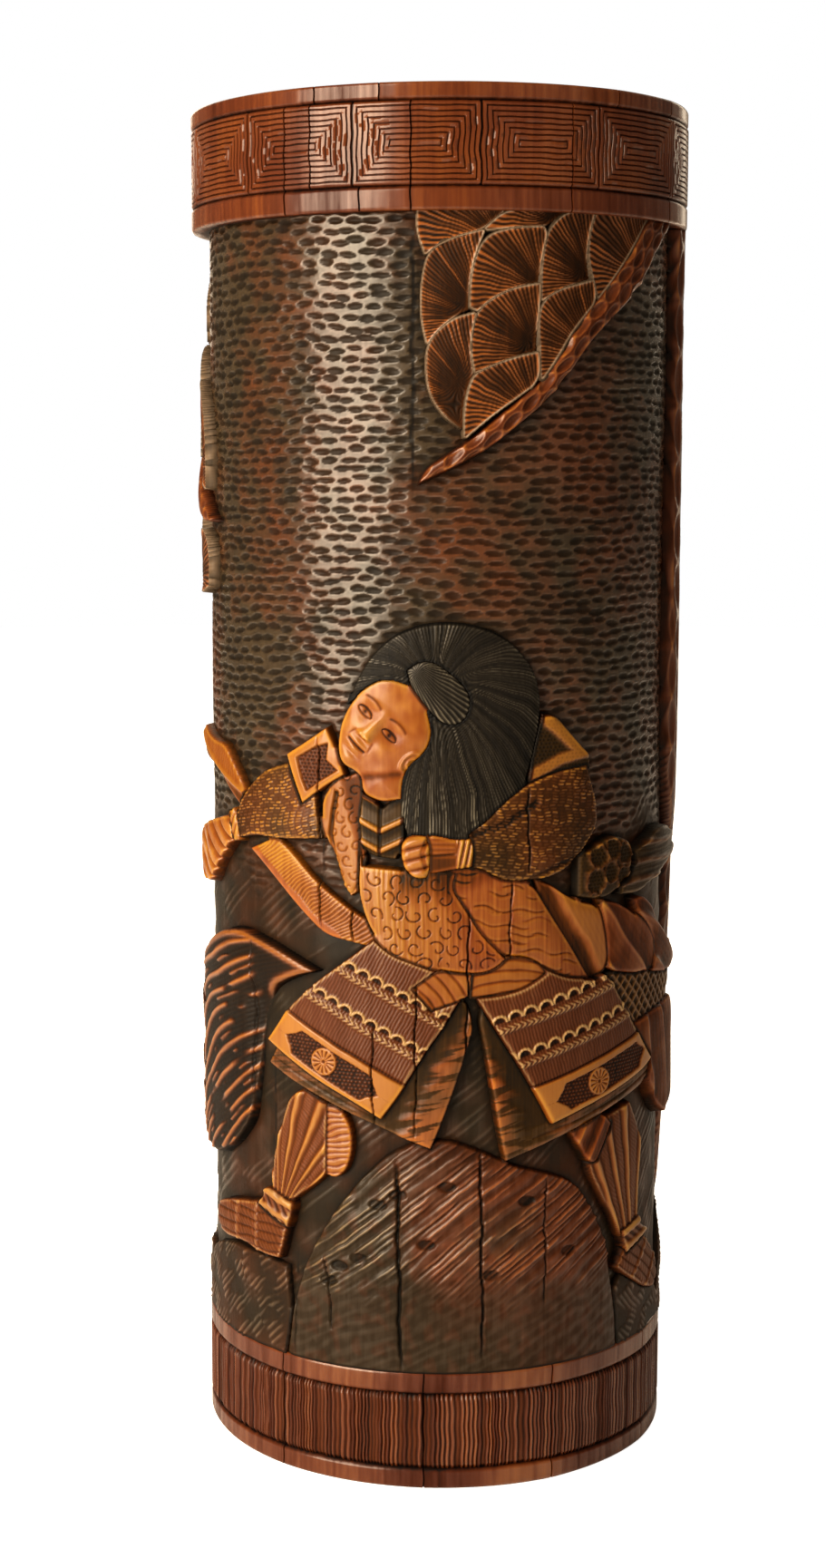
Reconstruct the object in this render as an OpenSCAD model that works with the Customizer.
// Brush pot carved in deep relief from one length of a large bamboo culm.
// Millimetres, +Z up, origin at the centre of the foot. The carved figure faces -Y.
// Every carved form is an outline of [arc, height] points on the culm: arc is measured
// along the outline circle from the front, positive to the right of someone facing the pot.

/* [Culm] */
// Height of the pot
pot_h = 336; // [332:1:345]
// Radius of the hollow
bore_r = 50; // [46:0.5:52]
// Radius of the cut-back ground between the carved forms
ground_r = 58; // [57:0.25:58.5]
// Height of the natural partition's upper side
floor_z = 13; // [11:0.5:18]
// Thickness of the natural partition
floor_t = 5; // [4:0.5:6]
// Depth of the dish in the partition's upper side
floor_dish = 1.5; // [1:0.1:2.5]
// How far the partition grows into the wall
floor_root = 1; // [0.5:0.25:2]
// Radius of the recess under the partition
recess_r = 46; // [40:0.5:48]

/* [Upper collar] */
// Radius of the upper collar
upper_r = 62.5; // [62:0.1:64]
// Height of the plain rim ring
rim_h = 4; // [3:0.5:6]
// Height of the fretted band
fret_h = 19; // [17:0.5:20]
// Height of the plain ring below the fretted band
bead_h = 5.5; // [4:0.5:7]
// Number of fret panels around the band
fret_panels = 13; // [8:1:16]
// Angle from the right-hand side to the first line between panels
fret_start = 2.3; // [0:0.1:20]

/* [Lower collar] */
// Radius of the lower collar
lower_r = 60; // [59.5:0.1:61]
// Height of the foot ring
foot_h = 5; // [4:0.5:6]
// Height of the reeded band
reed_h = 19; // [17:0.5:20]
// Height of the ring above the reeded band
sill_h = 5.5; // [4:0.5:6]
// Number of reeds around the band
reed_count = 48; // [24:4:72]
// Angle from the right-hand side to the first line between reeds
reed_start = 1.5; // [0:0.1:5]

/* [Incised lines] */
// Width of an incised line
line_w = 0.6; // [0.4:0.1:1]
// Depth of an incised line
line_d = 0.8; // [0.5:0.1:1.2]

/* [Hidden] */
$fn = 160;
arc_r = 60;
slack = 1;
fan_share = 0.96;
upper_z = pot_h - rim_h - fret_h - bead_h;
lower_z = foot_h + reed_h + sill_h;

// Angle of a place that lies s mm along the outline circle
function turn(s) = s / arc_r * 180 / PI;
function arcs(outline) = [for (p = outline) p[0]];
function middle(outline) = (min(arcs(outline)) + max(arcs(outline))) / 2;
// The outline drawn in towards its own centre, so that neighbours leave a cut line between them
function drawn_in(outline, share) =
    let (centre = [for (k = [0, 1]) (min([for (p = outline) p[k]]) + max([for (p = outline) p[k]])) / 2])
        [for (p = outline) centre + share * (p - centre)];
// The outline as seen square on to its own middle
function flat(outline, mid) = [for (p = outline) [arc_r * sin(turn(p[0] - mid)), p[1]]];

module tube(r_in, r_out, z_low, z_high) {
    translate([0, 0, z_low])
        difference() {
            cylinder(r = r_out, h = z_high - z_low);
            translate([0, 0, -slack]) cylinder(r = r_in, h = z_high - z_low + 2 * slack);
        }
}

// An outline driven in square to its own middle
module driven(outline, reach) {
    mid = middle(outline);
    rotate([0, 0, turn(mid)])
        rotate([90, 0, 0])
            translate([0, 0, ground_r / 3])
                linear_extrude(height = reach - ground_r / 3)
                    polygon(flat(outline, mid));
}

// A carved form: the skin of the culm inside an outline, less the forms that lie over it
module relief(outline, lift, under = []) {
    difference() {
        intersection() {
            driven(outline, ground_r + 3 * lift);
            tube(ground_r, ground_r + lift, lower_z, upper_z);
        }
        for (form = under) driven(form, ground_r + 20);
    }
}

// A plain ring with an incised line's half at each end that asks for one
module ring(r_out, z_low, z_high, low_line, high_line) {
    half = line_w / 2;
    cut = r_out - line_d;
    low = low_line ? [[cut, z_low], [cut, z_low + half], [r_out, z_low + half]] : [[r_out, z_low]];
    high = high_line ? [[r_out, z_high - half], [cut, z_high - half], [cut, z_high]] : [[r_out, z_high]];
    rotate_extrude() polygon(concat([[ground_r, z_low]], low, high, [[ground_r, z_high]]));
}

module upright_lines(count, start, r_out, z_low, z_high) {
    for (i = [0:count - 1])
        rotate([0, 0, i * 360 / count + start])
            translate([r_out - line_d, -line_w / 2, z_low + line_w])
                cube([slack + line_d, line_w, z_high - z_low - 2 * line_w]);
}

// ---- culm ----
module culm_wall() {
    root_r = bore_r + floor_root;
    floor_low = floor_z - floor_t;
    color("saddlebrown") rotate_extrude() polygon([
        [recess_r, 0], [ground_r, 0], [ground_r, pot_h], [bore_r, pot_h],
        [bore_r, floor_z], [root_r, floor_z], [root_r, floor_low], [recess_r, floor_low]
    ]);
}

module septum_floor() {
    root_r = bore_r + floor_root;
    rim = bore_r - 6;
    dish_r = rim - 8;
    color("peru") rotate_extrude() polygon([
        [0, floor_z - floor_t], [root_r, floor_z - floor_t], [root_r, floor_z],
        [rim, floor_z], [dish_r, floor_z - floor_dish], [0, floor_z - floor_dish]
    ]);
}

module rim_ring() {
    color("firebrick") ring(upper_r, pot_h - rim_h, pot_h, true, false);
}

module fret_band() {
    z_low = upper_z + bead_h;
    color("brown") difference() {
        ring(upper_r, z_low, z_low + fret_h, true, true);
        upright_lines(fret_panels, fret_start, upper_r, z_low, z_low + fret_h);
    }
}

module upper_bead() {
    color("firebrick") ring(upper_r, upper_z, upper_z + bead_h, false, true);
}

module lower_sill() {
    color("firebrick") ring(lower_r, lower_z - sill_h, lower_z, true, false);
}

module reeded_band() {
    color("brown") difference() {
        ring(lower_r, foot_h, foot_h + reed_h, true, true);
        upright_lines(reed_count, reed_start, lower_r, foot_h, foot_h + reed_h);
    }
}

module foot_ring() {
    color("firebrick") ring(lower_r, 0, foot_h, false, true);
}

// ---- outlines of the figure's head and arms ----
lock_line = [[-7.5, 202], [-4, 204.5], [0, 204], [4, 201], [7.5, 197.5], [8.5, 194],
    [7, 190], [4, 188.5], [0.5, 189.5], [-3, 193.5], [-6.5, 198]];
head_line = [[-24.5, 183], [-23.5, 179], [-20, 177.5], [-18.5, 176], [-18, 172], [-13, 170],
    [-8, 171], [-7.5, 178], [-2, 182.5], [-0.5, 187], [-2, 193], [-6, 198.5], [-12, 200.5],
    [-17.5, 198], [-21.5, 193.5], [-24, 188]];
hair_line = [[-22, 192], [-20, 199], [-16, 205.5], [-10, 210.5], [-2, 213], [6, 213], [14, 211],
    [20, 207], [24.5, 201], [26, 194], [25, 186], [22, 175], [16, 168], [9, 162], [-7, 162],
    [-9, 168], [-8, 180], [-12, 190]];
throat_line = [[-18, 173], [-13, 169], [-8, 173], [-8, 159.5], [-9.5, 156.5], [-16, 157],
    [-18.5, 160.5], [-19, 167]];
breast_line = [[-18.7, 160.5], [-18, 155], [5, 153.5], [4, 150], [8, 144], [11, 139],
    [17.5, 132.5], [14.5, 130], [11, 129], [5, 129.3], [-1, 130.5], [-6, 132.3], [-11, 134],
    [-15, 137.5], [-17.8, 143], [-19.3, 149]];
guard_left_line = [[-39, 180.7], [-34, 183.5], [-27, 188], [-24, 182], [-22, 176.5],
    [-28, 173], [-34, 168.5], [-37, 175]];
guard_right_line = [[26, 190.7], [29.5, 191], [34, 186], [37, 183], [40, 180.5], [40, 172],
    [22, 173], [23.5, 181]];
sleeve_left_line = [[-57, 157.8], [-50, 159.5], [-41, 159.3], [-33, 160], [-28, 160.5],
    [-29.5, 166], [-30, 172.5], [-37, 179], [-46, 176.5], [-52, 172], [-56, 168], [-58, 164.5]];
sleeve_right_line = [[7, 163.2], [11, 166], [16, 171], [22, 175], [30, 177.5], [39, 178.5],
    [40.8, 173], [42.3, 168], [42.5, 163], [40, 160], [37, 156.5], [33, 153.3], [28, 151.5],
    [21, 151], [15, 151.5], [11, 154], [7, 155]];
cuff_left_line = [[-61, 164.5], [-58.5, 165.8], [-56.5, 161.5], [-56, 157.3], [-58.5, 156.8],
    [-59.5, 161]];
hand_left_line = [[-58, 164], [-66, 162.5], [-74, 160.5], [-82, 158.5], [-90, 156], [-93, 151],
    [-90, 146], [-84, 143.7], [-77, 143.5], [-72, 146], [-67, 151], [-60, 156.5], [-57, 158]];
blade_line = [[-88, 183.5], [-72, 181], [-65, 181], [-60.5, 177], [-53.5, 170], [-57, 166],
    [-63, 169.5], [-69, 174], [-88, 176]];
wrist_line = [[-3, 162], [-1, 163.2], [5, 162], [8.5, 162.2], [9.3, 158.5], [8.8, 155],
    [5, 154.5], [-1, 153.3], [-3, 154]];
fist_line = [[-8.7, 160], [-7.5, 162.3], [-5, 163.2], [-2, 162.8], [-1, 160], [-1, 154.5],
    [-2, 152.2], [-4.5, 152], [-7, 153.5], [-8.3, 156]];
lappet_line = [[-29, 166], [-28.5, 171.5], [-24, 175.5], [-18, 178], [-17, 160], [-18, 149],
    [-21, 147], [-23.7, 150.5], [-25.5, 157], [-27.7, 161]];
ribbed_line = [[-53, 156], [-43, 160], [-38, 157], [-30, 150], [-20, 143.5], [-12, 140],
    [-14, 134.5], [-22, 136], [-28, 137], [-35, 142.5], [-42, 148.5], [-48, 153]];
lobe_line = [[2, 155], [10, 156], [20, 152], [24.5, 149.5], [28, 144], [34, 135.5], [40.5, 126],
    [33, 127], [27, 129.7], [22, 132.5], [14, 133], [8, 140], [4, 148]];
amber_line = [[24, 151.5], [29, 150], [33, 147], [38, 144.7], [43, 143.7], [45.5, 136],
    [46.3, 128.5], [42.5, 125.3], [38, 126], [30, 138]];

// ---- outlines of the dress behind and below the waist ----
knob_line = [[36, 157], [40, 157.5], [45, 160], [50, 160], [54, 158.3], [56.5, 154.5],
    [55, 149.5], [51.5, 147.8], [48, 145.5], [43, 144.5], [36, 146]];
leaf_line = [[52, 155], [58, 156], [64, 158], [71, 160], [80, 159], [88, 156], [91, 152],
    [86, 149.5], [76, 148.5], [66, 146.5], [58, 144.3], [50, 145]];
fold_inner_line = [[43, 145], [50, 143.5], [58, 139], [64, 134.5], [67, 130], [66.5, 124.5],
    [58, 124], [50, 125.5], [44, 128]];
fold_outer_line = [[56, 143.5], [60, 144], [66, 140.5], [71, 135], [80, 130], [92, 127],
    [98, 122], [90, 119.5], [78, 121], [66, 123], [60, 128]];
belt_line = [[46, 126], [56, 125.5], [70, 123], [88, 121], [90, 116], [78, 114], [66, 113.5],
    [56, 112], [50, 119]];
robe_tail_line = [[56, 114], [66, 115], [80, 115.5], [92, 112], [98, 104], [97, 92], [90, 85],
    [80, 83], [72, 86.5], [66, 93], [60, 100]];
tie_left_line = [[-5.5, 125.5], [1, 130.5], [9, 130], [8.3, 123.5], [4, 122.3], [-1, 120.5]];
tie_right_line = [[8.3, 123.5], [8, 130], [17, 133], [24, 133], [27, 128.5], [22, 125.5],
    [16, 124]];
tasset_left_line = [[-14, 138], [-22, 131.8], [-30, 126], [-38.5, 118.3], [-41.5, 114],
    [-45.2, 109.4], [-42, 107.7], [-30, 101.5], [-20, 97], [-12.7, 93], [-8, 99.5], [-3, 108],
    [2.5, 116], [6.5, 122.7], [2, 128], [0, 134], [-8, 137]];
tasset_right_line = [[8.6, 123.3], [16, 127], [28, 131], [42, 128], [47, 125], [51, 119.5],
    [56, 113], [61, 106.5], [66, 101.5], [62, 99.7], [50, 96.7], [40, 94.2], [28.5, 90.8],
    [24.5, 98], [19, 107], [13.5, 115.5]];
skirt_left_line = [[-40, 110], [-43, 107], [-45.3, 103.3], [-38, 100], [-30, 97], [-20, 93.2],
    [-10, 89.2], [-0.8, 85.8], [1, 90], [4, 98], [7, 107], [9.8, 116.5], [8, 122],
    [5, 124], [-10, 108]];
skirt_right_line = [[10, 117.5], [12, 108], [13.7, 98], [15.5, 88], [16.8, 82.3], [25, 85],
    [35, 88], [45, 91], [55, 93.5], [64, 95.5], [66, 101], [50, 105], [20, 112], [11, 121]];

// ---- outlines of the legs ----
shin_left_line = [[-38.5, 96], [-34, 98.5], [-26, 95], [-27, 84], [-27.3, 77.5], [-30, 75],
    [-34, 72], [-37, 69.5], [-44.5, 71], [-44.3, 79], [-41.5, 88]];
calf_left_line = [[-27, 95], [-24, 95.5], [-20.8, 91], [-20, 85], [-22, 79], [-25, 76.8],
    [-27.3, 77.5]];
ankle_left_line = [[-47, 71], [-44.5, 71.8], [-36.7, 69], [-37, 66.7], [-38.5, 62],
    [-44, 63.8], [-49.3, 66.3], [-47.5, 69]];
shoe_left_line = [[-49.5, 67], [-44, 66], [-38.7, 62.6], [-40, 57.5], [-41.5, 53.5],
    [-48, 53.3], [-56, 54.7], [-65, 53.5], [-70, 54.3], [-72, 57.5], [-71, 61.5], [-64, 64],
    [-56, 65.8]];
knee_right_line = [[33, 90], [38, 82.5], [40.5, 79], [43.3, 78.8], [46, 83], [49, 88], [44, 92]];
shin_right_line = [[40.5, 80], [46, 90], [57, 92], [63, 82], [62.3, 76], [61.3, 68],
    [61.5, 60.5], [53, 57.5], [49.5, 63.5], [45, 70], [41.5, 76]];
ankle_right_line = [[53, 59.3], [61.7, 61.7], [62.3, 59.5], [67.5, 56], [63, 54.7],
    [55, 52.5], [54, 55.5]];
shoe_right_line = [[54.5, 54.5], [64, 56], [71, 50.5], [75, 46], [76.5, 41.5], [73, 38.5],
    [65, 41], [57, 45.8], [51, 50]];

// ---- outlines of the striped beast behind the figure ----
haunch_line = [[-29, 128], [-37, 131], [-45, 133.5], [-55, 135.5], [-65, 134], [-74, 130.5],
    [-82, 126.5], [-88, 124], [-88, 77], [-80, 73.5], [-70, 74], [-60, 79], [-52, 87],
    [-50, 98], [-48.5, 112], [-44, 122], [-36, 126]];
beast_back_line = [[-86, 125], [-98, 122], [-112, 123], [-126, 119], [-138, 108], [-144, 94],
    [-140, 82], [-126, 75], [-110, 71], [-96, 74], [-86, 77]];
beast_tail_line = [[-136, 112], [-142, 122], [-141, 134], [-134, 143], [-124, 148],
    [-115, 147], [-112, 141], [-118, 139], [-126, 137], [-132, 130], [-133, 121], [-128, 114]];

// ---- outlines of the rocks ----
mound_line = [[-40, 29], [-38, 42], [-34, 54], [-28, 65], [-20, 76], [-12, 84], [-4, 88],
    [4, 88], [12, 85], [20, 81], [30, 78], [37, 75], [43, 67], [48, 58], [50, 48], [52, 40],
    [53, 29]];
rock_left_line = [[-98, 29], [-97, 44], [-90, 47], [-84, 44], [-76, 49], [-64, 52.5],
    [-50, 53], [-40, 52], [-38, 29]];
rock_right_line = [[51, 29], [51, 44], [58, 50], [72, 44], [80, 36], [86, 40], [94, 52],
    [102, 56], [106, 29]];
rocks_back = [
    [[142, 29], [143, 56], [149, 74], [158, 88], [168, 95], [178, 90], [186, 78], [192, 66],
        [196, 52], [198, 29]],
    [[198.5, 29], [198, 46], [203, 58], [212, 64], [222, 60], [230, 66], [240, 69], [250, 62],
        [258, 57], [266, 50], [274, 46], [278, 40], [279, 29]]
];

// ---- outlines of the pine ----
fans_front = [
    [[-2.5, 277], [-2.8, 270], [-1.3, 264.3], [2.5, 260], [5.6, 258], [5.9, 263], [7, 267.5],
        [8.2, 270.7], [7.3, 276], [7.6, 280.5], [8.6, 284.6], [4, 283.5], [0, 280.5]],
    [[8.4, 270.5], [14, 273], [20, 274.8], [24, 275.6], [24.3, 269.3], [18, 265], [12, 261],
        [6, 256], [6.1, 263], [7.2, 267.5]],
    [[8.8, 284.5], [7.8, 280], [7.5, 275.5], [8.4, 270.8], [14, 273.2], [20, 275],
        [23.7, 275.9], [23.6, 282], [24, 287], [24.2, 291.3], [18, 290.3], [12.5, 287.7]],
    [[24.3, 287], [29, 290], [34, 291.3], [39, 292.5], [39.7, 288.3], [36, 284.5], [32, 280],
        [28, 274], [24.5, 269.5], [24.3, 275.7], [23.9, 281.5]],
    [[-2.7, 277.4], [-4, 283], [-4, 291], [-2.6, 297.5], [0, 300], [5, 302], [10.4, 303.3],
        [8.2, 298], [7, 292], [6.9, 285.3], [3.5, 283.7], [0, 281]],
    [[7.2, 285.6], [7.3, 292], [8.6, 297.7], [11.2, 302], [17, 303.8], [25, 304.3],
        [25.8, 303], [24.5, 298], [24.1, 291.6], [18, 290.6], [12.2, 288], [8.6, 284.9]],
    [[-5, 308], [-5.2, 303], [-3.3, 298], [0, 300.3], [5, 302.3], [10.4, 303.6], [15.5, 308]],
    [[10.7, 303.4], [16, 308], [31, 308], [27.5, 305.5], [25, 304.6], [17, 304.1]],
    [[24.4, 291.6], [24.8, 297.5], [26.1, 303], [28, 305.4], [31.5, 308], [38.8, 308],
        [37, 303], [36.8, 297.5], [38.3, 292.7], [33, 291.4], [28.5, 289.8], [24.5, 287.5]],
    [[38.6, 292.7], [37.1, 297.5], [37.3, 303], [39.2, 308], [58, 308], [52, 301], [46, 294.5],
        [40, 288.5]]
];
branch_front_line = [[-5.5, 245], [-4, 248.8], [2, 252.3], [8, 256.3], [14, 261.2], [20, 265.7],
    [25, 269.5], [29, 274.5], [33, 280.5], [38, 286.3], [44, 292], [50, 298], [55, 303.5],
    [58, 308], [74, 308], [67, 303.3], [61, 298], [57, 292.5], [51, 288], [44, 283], [38, 278],
    [32, 270.5], [27, 265], [20, 259.5], [12, 253.5], [4, 249.3]];
fans_left = [
    [[-77, 243.5], [-76.5, 252], [-78.5, 261], [-84, 268], [-92, 271], [-94, 262], [-91, 252],
        [-86, 245.5]],
    [[-94.3, 262], [-92.3, 271.3], [-96, 277.5], [-104, 281], [-112, 279], [-111, 269],
        [-105, 261], [-98, 253], [-91.4, 251.7]],
    [[-112.3, 279.3], [-104, 281.4], [-103, 290], [-107, 298], [-113, 303], [-122, 304],
        [-128, 296], [-124, 286], [-117, 277], [-111.5, 270.5]],
    [[-74, 219.5], [-73, 226], [-76, 232], [-84, 234], [-93, 231], [-97, 224], [-92, 218.7],
        [-83, 217.5]],
    [[-97.3, 224.2], [-93.3, 231.3], [-96, 237.5], [-104, 242], [-113, 240], [-118, 232],
        [-113, 225], [-105, 221.5]]
];
branch_left_line = [[-69.5, 235.5], [-77, 239.5], [-85, 244], [-92, 249], [-100, 255.5],
    [-108, 263.5], [-115, 272], [-122, 282], [-128, 293], [-134, 308], [-148, 308],
    [-141, 294], [-133, 280], [-124, 267], [-115, 256], [-105, 247.5], [-94, 240.5],
    [-82, 235.5]];
bough_line = [[110, 254], [120, 260], [128, 262.5], [134, 263], [141, 261.5], [150, 255.5],
    [160, 254.5], [170, 258.5], [180, 258], [187, 256], [178, 252], [170, 251], [160, 246.5],
    [149, 247], [139, 252], [128, 250], [118, 242], [110, 228]];
trunk_line = [[86, 160], [81, 176], [79.5, 200], [80, 230], [81.5, 262], [83, 285], [81, 308],
    [116, 308], [113, 285], [112, 255], [115, 225], [119, 190], [122, 155], [127, 118],
    [134, 84], [143, 56], [146, 40], [112, 40], [104, 58], [99, 84], [97, 118], [93, 150]];
fans_back = [
    [[128, 262], [124, 272], [127, 284], [136, 292], [146, 293], [148, 282], [143, 271],
        [136, 263]],
    [[148.4, 282], [146.4, 293.3], [152, 301], [162, 306], [172, 304], [173, 293],
        [167, 284], [158, 277], [150, 274], [144, 270.5]],
    [[144.5, 270], [151, 273.6], [158.5, 276.6], [167, 279], [175, 276], [176, 266],
        [170, 258], [160, 254], [150, 255], [141, 261], [137, 262.7]],
    [[173.4, 293], [172.4, 304], [179, 308], [194, 308], [199, 300], [196, 289], [187, 282],
        [176, 279], [167.6, 283.6]],
    [[176.4, 266], [175.5, 276], [187.2, 281.4], [197, 283], [203, 276], [202, 266],
        [195, 259], [184, 257]]
];

// ---- figure: head and arms ----
module side_lock() {
    color("dimgray") relief(lock_line, 3.4);
}

module head() {
    color("burlywood") relief(head_line, 3, [lock_line]);
}

module hair() {
    color("darkslategray")
        relief(hair_line, 2.8, [lock_line, head_line, sleeve_right_line, wrist_line, fist_line]);
}

module throat_guard() {
    color("dimgray") relief(throat_line, 2.2, [head_line, fist_line]);
}

module breastplate() {
    color("goldenrod") relief(breast_line, 3.2, [throat_line, fist_line, wrist_line]);
}

module shoulder_guard_left() {
    color("tan") relief(guard_left_line, 2.8, [head_line]);
}

module shoulder_guard_right() {
    color("chocolate") relief(guard_right_line, 2.4, [hair_line, sleeve_right_line]);
}

module mail_sleeve_left() {
    color("darkgoldenrod")
        relief(sleeve_left_line, 2.4, [guard_left_line, lappet_line, cuff_left_line]);
}

module mail_sleeve_right() {
    color("darkgoldenrod") relief(sleeve_right_line, 3.2, [wrist_line]);
}

module cuff_left() {
    color("wheat") relief(cuff_left_line, 2.8);
}

module hand_left() {
    color("peru") relief(hand_left_line, 2.8, [cuff_left_line, sleeve_left_line]);
}

module blade() {
    color("orange") relief(blade_line, 2, [sleeve_left_line, hand_left_line]);
}

module wrist_guard() {
    color("peru") relief(wrist_line, 3.4, [fist_line]);
}

module fist_right() {
    color("chocolate") relief(fist_line, 3.8);
}

module scroll_lappet() {
    color("peru") relief(lappet_line, 2, [guard_left_line, head_line, throat_line, breast_line]);
}

module ribbed_flap() {
    color("rosybrown") relief(ribbed_line, 2, [breast_line, sleeve_left_line, lappet_line]);
}

module waist_lobe() {
    color("darkorange") relief(lobe_line, 2.6, [breast_line, sleeve_right_line, wrist_line]);
}

module amber_flap() {
    color("orange") relief(amber_line, 2.3, [lobe_line, sleeve_right_line]);
}

// ---- figure: dress behind and below the waist ----
module fur_knob() {
    color("sienna") relief(knob_line, 3, [sleeve_right_line, amber_line]);
}

module leaf_guard() {
    color("sienna") relief(leaf_line, 3, [knob_line]);
}

module rear_fold_inner() {
    color("chocolate") relief(fold_inner_line, 2.4, [amber_line, knob_line, leaf_line]);
}

module rear_fold_outer() {
    color("saddlebrown") relief(fold_outer_line, 3, [fold_inner_line, knob_line, leaf_line]);
}

module hatched_belt() {
    color("sienna")
        relief(belt_line, 2.2, [fold_inner_line, fold_outer_line, amber_line, tasset_right_line]);
}

module robe_tail() {
    color("chocolate") relief(robe_tail_line, 3, [tasset_right_line, skirt_right_line, belt_line]);
}

module waist_tie_left() {
    color("darkorange") relief(tie_left_line, 2.8, [breast_line]);
}

module waist_tie_right() {
    color("chocolate") relief(tie_right_line, 2.5, [breast_line, lobe_line, tie_left_line]);
}

module tasset_left() {
    color("saddlebrown") relief(tasset_left_line, 3.4, [breast_line, tie_left_line]);
}

module tasset_right() {
    color("saddlebrown")
        relief(tasset_right_line, 3.4, [breast_line, lobe_line, amber_line, tie_right_line]);
}

module skirt_left() {
    color("orange") relief(skirt_left_line, 2.6, [tasset_left_line, tie_left_line]);
}

module skirt_right() {
    color("orange")
        relief(skirt_right_line, 2.6, [tasset_right_line, skirt_left_line, tie_left_line]);
}

// ---- figure: legs ----
module shin_guard_left() {
    color("burlywood") relief(shin_left_line, 2.4, [skirt_left_line, calf_left_line, ankle_left_line]);
}

module calf_left() {
    color("peru") relief(calf_left_line, 2.2, [skirt_left_line]);
}

module ankle_tie_left() {
    color("burlywood") relief(ankle_left_line, 2.8);
}

module shoe_left() {
    color("peru") relief(shoe_left_line, 2.4, [ankle_left_line]);
}

module knee_cloth_right() {
    color("peru") relief(knee_right_line, 2.4, [skirt_right_line]);
}

module shin_guard_right() {
    color("sienna") relief(shin_right_line, 2.2, [skirt_right_line, knee_right_line, ankle_right_line]);
}

module ankle_tie_right() {
    color("sienna") relief(ankle_right_line, 2.6);
}

module shoe_right() {
    color("sienna") relief(shoe_right_line, 2.2, [ankle_right_line]);
}

// ---- striped beast ----
module haunch() {
    color("chocolate") relief(haunch_line, 2.8, [tasset_left_line, skirt_left_line]);
}

module beast_back() {
    color("chocolate") relief(beast_back_line, 2.8, [haunch_line]);
}

module beast_tail() {
    color("chocolate") relief(beast_tail_line, 2.4, [beast_back_line]);
}

// ---- rocks ----
module rock_mound() {
    color("sienna")
        relief(mound_line, 1.8, [skirt_left_line, skirt_right_line, calf_left_line,
            shin_left_line, shin_right_line, shoe_right_line]);
}

module rock_left() {
    color("maroon") relief(rock_left_line, 1.6, [mound_line, shoe_left_line]);
}

module rock_right() {
    color("maroon") relief(rock_right_line, 1.6, [mound_line, shoe_right_line]);
}

module rock_back() {
    color("maroon") for (rock = rocks_back) relief(rock, 2.4, [trunk_line]);
}

// ---- pine ----
module pine_fans_front() {
    color("olive") for (fan = fans_front) relief(drawn_in(fan, fan_share), 2.4, [branch_front_line]);
}

module pine_branch_front() {
    color("sienna") relief(branch_front_line, 3);
}

module pine_fans_left() {
    color("olive") for (fan = fans_left) relief(drawn_in(fan, fan_share), 2.8, [branch_left_line]);
}

module pine_branch_left() {
    color("sienna") relief(branch_left_line, 3.2);
}

module pine_trunk() {
    color("sienna")
        relief(trunk_line, 3.8, [leaf_line, fold_outer_line, belt_line, robe_tail_line,
            rock_right_line]);
}

module pine_bough() {
    color("sienna") relief(bough_line, 3.8, [trunk_line]);
}

module pine_fans_back() {
    color("olive") for (fan = fans_back) relief(drawn_in(fan, fan_share), 2.8, [bough_line]);
}

culm_wall();
septum_floor();
rim_ring();
fret_band();
upper_bead();
lower_sill();
reeded_band();
foot_ring();
side_lock();
head();
hair();
throat_guard();
breastplate();
shoulder_guard_left();
shoulder_guard_right();
mail_sleeve_left();
mail_sleeve_right();
cuff_left();
hand_left();
blade();
wrist_guard();
fist_right();
scroll_lappet();
ribbed_flap();
waist_lobe();
amber_flap();
fur_knob();
leaf_guard();
rear_fold_inner();
rear_fold_outer();
hatched_belt();
robe_tail();
waist_tie_left();
waist_tie_right();
tasset_left();
tasset_right();
skirt_left();
skirt_right();
shin_guard_left();
calf_left();
ankle_tie_left();
shoe_left();
knee_cloth_right();
shin_guard_right();
ankle_tie_right();
shoe_right();
haunch();
beast_back();
beast_tail();
rock_mound();
rock_left();
rock_right();
rock_back();
pine_fans_front();
pine_branch_front();
pine_fans_left();
pine_branch_left();
pine_trunk();
pine_bough();
pine_fans_back();
